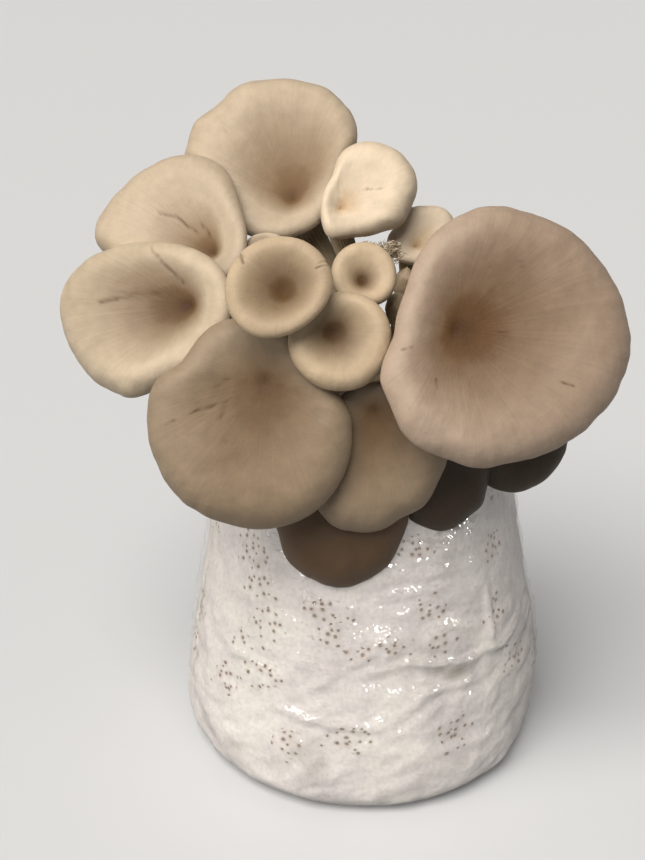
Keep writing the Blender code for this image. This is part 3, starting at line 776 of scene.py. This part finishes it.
def make_stem(name, cap, stem, surface):
    """A stem that swells out of the base, and carries the gills some way down from the cap."""
    centres, axes, length = stem_line(cap, stem)
    mesh, ring, turn, out, pole = club("mushroom_stem_" + name, STEM_SPOKES, centres, axes)
    share = ring / (STEM_RINGS - 1)
    radius = stem.foot + (stem.head - stem.foot) * share ** 2.5
    radius *= 1 - 0.08 * np.sin(math.pi * share)
    run = share * length
    radius += 1.8 * np.exp(-(run / 5.0) ** 2) + 0.9 * smooth(run, length - 5.0, length)
    points = centres[ring] + out * radius[:, None]
    uneven = rough(points * (1.0, 1.0, 0.5), 9.0, 2)
    gills = np.cos(28 * turn + 0.8 * np.sin(3 * turn)) * smooth(share, 0.52, 0.92)
    radius = radius * (1 + 0.05 * uneven) + 0.38 * gills * (0.4 + radius / 10.0)
    points = centres[ring] + out * np.where(pole, 0.0, radius)[:, None]
    write_points(mesh, points)
    lift = run[:, None] * np.array(((0.0, 0.0, 0.02),))
    paint(mesh, "round", np.stack([np.cos(turn), np.sin(turn), np.zeros_like(turn)], axis=1) + lift)
    # Painted shade: the stem darkens toward the cap and in the gaps between its gills.
    paint(mesh, "dark_tone_and_shade", np.clip(0.15 + 0.35 * smooth(share, 0.5, 1.0) - 0.2 * gills, 0.0, 1.0))
    return place(mesh, surface, "stem_flesh", "stem_" + name)


def make_pinhead(name, leaves, tip, width, surface):
    """A closed cap on a short stem."""
    way = aim(*leaves)
    start = Vector(BASE_CENTRE) + way * (base_reach(way) - 3.0)
    count = 40
    axis = (Vector(tip) - start).normalized()
    centres = np.array([start.lerp(Vector(tip), share) for share in np.linspace(0, 1, count)])
    mesh, ring, turn, out, pole = club("young_mushroom_" + name, 64, centres, np.array([axis] * count))
    share = ring / (count - 1)
    form = np.interp(share, *zip(*PINHEAD_FORM))
    form *= np.sqrt(np.clip((1.0 - share) / 0.1, 0.0, 1.0))
    form += 0.25 * np.exp(-(share / 0.1) ** 2)
    radius = width * form
    points = centres[ring] + out * np.where(pole, 0.0, radius)[:, None]
    points += out * (0.03 * width * rough(points, 4.0, 2) * ~pole)[:, None]
    write_points(mesh, points)
    lift = share[:, None] * np.array(((0.0, 0.0, 1.2),))
    paint(mesh, "round", np.stack([np.cos(turn), np.sin(turn), np.zeros_like(turn)], axis=1) + lift)
    paint(mesh, "dark_tone_and_shade", 0.75 * smooth(share, 0.6, 0.82))
    return place(mesh, surface, "pinhead_skin", "pinhead_" + name)


# Caps

def outline(cap, turn):
    """Edge of each spoke in the cap's plane, measured from the dimple."""
    across = cap.half[0] * np.cos(turn) * (1 + cap.taper * np.sin(turn))
    along = cap.half[1] * np.sin(turn)
    spin = math.radians(cap.spin)
    edge = np.stack([across * math.cos(spin) - along * math.sin(spin),
                     across * math.sin(spin) + along * math.cos(spin)], axis=1)
    heading = np.degrees(np.arctan2(edge[:, 1], edge[:, 0]))
    for direction, depth, spread in cap.dents:
        off = (heading - direction + 180) % 360 - 180
        edge *= (1 - depth * np.exp(-(off / spread) ** 2) / np.linalg.norm(edge, axis=1))[:, None]
    return edge + np.array(cap.centre)


def cap_levels(cap):
    """From the dimple over the margin to the stem: each ring's share of the reach and how far
    down through the flesh it lies."""
    _, upper, lower = cap.mesh
    top = [(share * (1 - LIP), 0.0) for share in np.linspace(0.0, 1.0, upper) ** 0.9]
    lip = [(1 - LIP + LIP * math.sin(step), 0.5 - 0.5 * math.cos(step))
           for step in np.linspace(0.0, math.pi, LIP_RINGS + 2)[1:-1]]
    under = [(share * (1 - LIP), 1.0) for share in np.linspace(1.0, 0.0, lower) ** 0.85]
    return np.array(top + lip + under)


def upper_height(cap, share, reach, turn):
    """Upper side over the dimple: a bowl that flattens outwards and rolls down at the margin."""
    bowl = 1 - (1 - share ** 2) ** 2
    roll = cap.roll * np.maximum(0.0, (share - ROLL_START) / (1 - ROLL_START)) ** 2.6
    roll += EDGE_ROLL * np.maximum(0.0, (share - EDGE_ROLL_START) / (1 - EDGE_ROLL_START)) ** 3.5
    height, lobes, start = cap.wave
    wave = height * share ** 2 * np.sin(lobes * turn + math.radians(start))
    return reach * (cap.bowl * bowl - roll) + wave


def blades(spokes, turn, share):
    """1 on the edge of a gill and 0 between gills. Short gills start further out than long ones."""
    spoke = np.rint(turn / math.tau * spokes).astype(int) % 8
    start = np.select([spoke == 0, spoke == 4, spoke % 2 == 0], [-1.0, 0.42, 0.68], 9.0)
    return smooth(share, start, start + 0.07)


def scar_marks(name, plan):
    """Depth and darkness of the cap's creases at each place in its plane."""
    depth, dark = np.zeros(len(plan)), np.zeros(len(plan))
    if name not in SCARS:
        return depth, dark
    flat = np.column_stack([plan, np.zeros(len(plan))])
    broken = np.clip(0.75 + 0.9 * rough(flat, 2.6, 2), 0.1, 1.0)
    wobble = np.column_stack([rough(flat + 30.0, 3.4, 2), rough(flat + 60.0, 3.4, 2)])
    plan = plan + 0.45 * wobble
    for start, end, width, deep, strength in SCARS[name]:
        start, run = np.array(start), np.array(end) - np.array(start)
        along = np.clip((plan - start) @ run / (run @ run), 0.0, 1.0)
        away = np.linalg.norm(plan - start - along[:, None] * run, axis=1)
        line = np.exp(-(away / (0.7 * width)) ** 2) * broken
        depth += deep * line
        dark = np.maximum(dark, strength * line)
    return depth, dark


def make_cap(name, cap, surface):
    """A cap with its skin above, a rounded margin and gills below."""
    levels = cap_levels(cap)
    mesh, level, turn = ball("mushroom_cap_" + name, cap.mesh[0], len(levels) - 1)
    share, down = levels[level, 0], levels[level, 1]
    edge = outline(cap, turn)
    ragged = rough(np.column_stack([edge, np.full(len(edge), 40.0 * float(name))]), 9.0, 2)
    edge *= (EDGE_SCALE + EDGE_RAGGED * ragged)[:, None]
    reach = np.linalg.norm(edge, axis=1)
    plan = edge * share[:, None]
    height = upper_height(cap, share, reach, turn)
    height -= PIT_DEPTH * np.exp(-(share * reach / PIT_WIDTH) ** 2)
    depth, dark = scar_marks(name, plan)
    flesh = MARGIN + (cap.flesh - MARGIN) * (1 - share) ** 1.3
    blade = blades(cap.mesh[0], turn, share)
    recess = GILL_DEPTH * flesh * (1 - blade) * (down == 1.0)
    recess *= 1 - smooth(share, 1 - 2.2 * LIP, 1 - LIP)
    outward = np.array(aim(*cap.facing))
    facing = math.radians(cap.facing[0])
    right = np.array((math.cos(facing), math.sin(facing), 0.0))
    up = np.cross(outward, right)
    points = np.array(cap.dimple) + plan[:, :1] * right + plan[:, 1:] * up
    uneven = (0.75 * rough(points, 19.0, 2) + 0.22 * rough(points + 70.0, 6.0, 2)) * share
    height += uneven - depth * (1 - down) - flesh * down + recess
    points += height[:, None] * outward
    write_points(mesh, points)
    paint(mesh, "share", share)
    paint(mesh, "plan", np.column_stack([plan, np.zeros(len(plan))]))
    paint(mesh, "under", smooth(down, 0.4, 0.95))
    # Marks the gaps between the gills, where the skin paints shade.
    paint(mesh, "gill_gap_shade", (1 - blade) * (down == 1.0) * smooth(recess, 0.0, 0.5))
    paint(mesh, "scar", dark * (1 - down))
    way, lean = LEANS.get(name, (0, 0.0))
    heading = np.arctan2(plan[:, 1], plan[:, 0]) - math.radians(way)
    paint(mesh, "zone", MARGIN_COLOUR_AT * share * (1 - lean * np.cos(heading)) / BROWNING[name])
    return place(mesh, surface, "cap_skin", "cap_" + name)


# Fibres

def make_tuft(surface):
    """A tangle of thin dry fibres behind the small round cap."""
    chance = np.random.default_rng(11)
    line = bpy.data.curves.new("fibre_lines", "CURVE")
    line.dimensions = "3D"
    line.bevel_depth = 0.2 * MM
    line.bevel_resolution = 1
    line.use_fill_caps = True
    for _ in range(TUFT_FIBRES):
        middle = Vector(chance.uniform((-0.8, -0.6, -0.4), (0.7, 0.6, 0.8), 3) * TUFT_SIZE)
        way = Vector((chance.normal(), 0.5 * chance.normal(), 0.8 * chance.normal())).normalized()
        bend = Vector(chance.normal(0.0, 1.0, 3)) * 0.9
        length = chance.uniform(2.5, 6.5)
        spline = line.splines.new("POLY")
        spline.points.add(8)
        thin = chance.uniform(0.5, 1.3)
        for index, point in enumerate(spline.points):
            t = index / 4 - 1
            offset = middle + way * length * t * 0.5 + bend * t * t
            share = (Vector(offset[i] / TUFT_SIZE[i] for i in range(3))).length
            offset *= min(1.0, 1.04 / max(share, 0.01))
            point.co = (*((TUFT_CENTRE + offset) * MM), 1.0)
            point.radius = thin * (1.15 - abs(t) * 0.6)
    strands = bpy.data.objects.new("fibre_lines", line)
    bpy.context.collection.objects.link(strands)
    seen = strands.evaluated_get(bpy.context.evaluated_depsgraph_get())
    mesh = bpy.data.meshes.new_from_object(seen)
    mesh.name = "dry_fibres"
    bpy.data.objects.remove(strands)
    mesh.materials.clear()
    return place(mesh, surface, "dry_fibre", "fibre_tuft")


# Stage

def make_floor():
    """A plain pale floor, which throws no light back up under the caps."""
    shape = bmesh.new()
    bmesh.ops.create_grid(shape, x_segments=1, y_segments=1, size=12.0)
    mesh = bpy.data.meshes.new("studio_floor")
    shape.to_mesh(mesh)
    shape.free()
    finish = Finish("pale_floor")
    finish.set("Base Color", (0.62, 0.62, 0.62, 1.0))
    finish.set("Roughness", 0.9)
    mesh.materials.append(finish.material)
    floor = bpy.data.objects.new("studio_floor", mesh)
    bpy.context.collection.objects.link(floor)
    floor.visible_diffuse = False


def soft_light(name, place_at, target, size, power):
    """A small round lamp, for glints on the film."""
    lamp = bpy.data.lights.new(name, "AREA")
    lamp.shape = "DISK"
    lamp.size = size
    lamp.energy = power
    made = bpy.data.objects.new(name, lamp)
    made.location = place_at
    made.rotation_euler = (Vector(target) - Vector(place_at)).to_track_quat("-Z", "Y").to_euler()
    made.visible_camera = False
    bpy.context.collection.objects.link(made)


def sun_light(name, turn, tilt, strength, spread, colour):
    """Soft light from far away, from a turn to the right of the front and a tilt above level."""
    lamp = bpy.data.lights.new(name, "SUN")
    lamp.energy = strength
    lamp.angle = math.radians(spread)
    lamp.color = colour
    made = bpy.data.objects.new(name, lamp)
    made.rotation_euler = (-aim(turn, tilt)).to_track_quat("-Z", "Y").to_euler()
    bpy.context.collection.objects.link(made)


def make_lights():
    """A dim white surround, two wide soft lights from the upper left and three small lamps."""
    world = bpy.data.worlds.new("studio")
    world.use_nodes = True
    world.node_tree.nodes["Background"].inputs["Color"].default_value = (1.0, 1.0, 1.0, 1.0)
    world.node_tree.nodes["Background"].inputs["Strength"].default_value = 0.14
    bpy.context.scene.world = world
    sun_light("key_light", -24.0, 57.0, 3.2, 42.0, (1.0, 0.98, 0.95))
    sun_light("side_light", -60.0, 30.0, 0.9, 40.0, (1.0, 0.97, 0.94))
    middle = Vector((0.0, 0.0, 0.09))
    for index, (turn, tilt) in enumerate(SMALL_LAMPS):
        place_at = middle + LAMP_DISTANCE * aim(turn, tilt)
        soft_light(f"small_lamp_{index}", place_at, middle, 0.13, 0.7)


def make_camera():
    """A camera half a metre off, a little above, as the photo was taken."""
    target = Vector((-0.0185, 0.0, 0.145))
    distance, elevation = 0.520, math.radians(25.0)
    back = Vector((0.0, -math.cos(elevation), math.sin(elevation)))
    lens = bpy.data.cameras.new("camera")
    lens.lens = 50.0
    lens.sensor_width = 36.0
    lens.sensor_fit = "AUTO"
    lens.clip_start = 0.02
    lens.clip_end = 60.0
    camera = bpy.data.objects.new("camera", lens)
    camera.location = target + back * distance
    camera.rotation_euler = (-back).to_track_quat("-Z", "Y").to_euler()
    bpy.context.collection.objects.link(camera)
    bpy.context.scene.camera = camera


def main():
    """Make every piece of the grow bag, and the stage that it stands on."""
    make_camera()
    make_film(film_finish())
    make_block(block_finish())
    make_base(flesh_finish("butt_flesh", (0.52, 0.42, 0.29), (0.28, 0.19, 0.11)))
    # The stem colours are partly the flesh's own tone and partly darkened as painted shade under the caps.
    stem_flesh = flesh_finish("stem_flesh", (0.50, 0.39, 0.25), (0.26, 0.17, 0.09))
    young_skin = flesh_finish("young_skin", (0.66, 0.54, 0.38), (0.42, 0.29, 0.17))
    skins = {name: cap_finish(name, *colours) for name, colours in SKINS.items()}
    for name, cap in CAPS.items():
        make_cap(name, cap, skins[WEARS[name]])
        make_stem(name, cap, STEMS[name], stem_flesh)
    for name, (leaves, tip, width) in PINHEADS.items():
        make_pinhead(name, leaves, tip, width, young_skin)
    make_tuft(fibre_finish())
    make_floor()
    make_lights()
    bpy.context.scene.view_settings.view_transform = "Standard"


main()
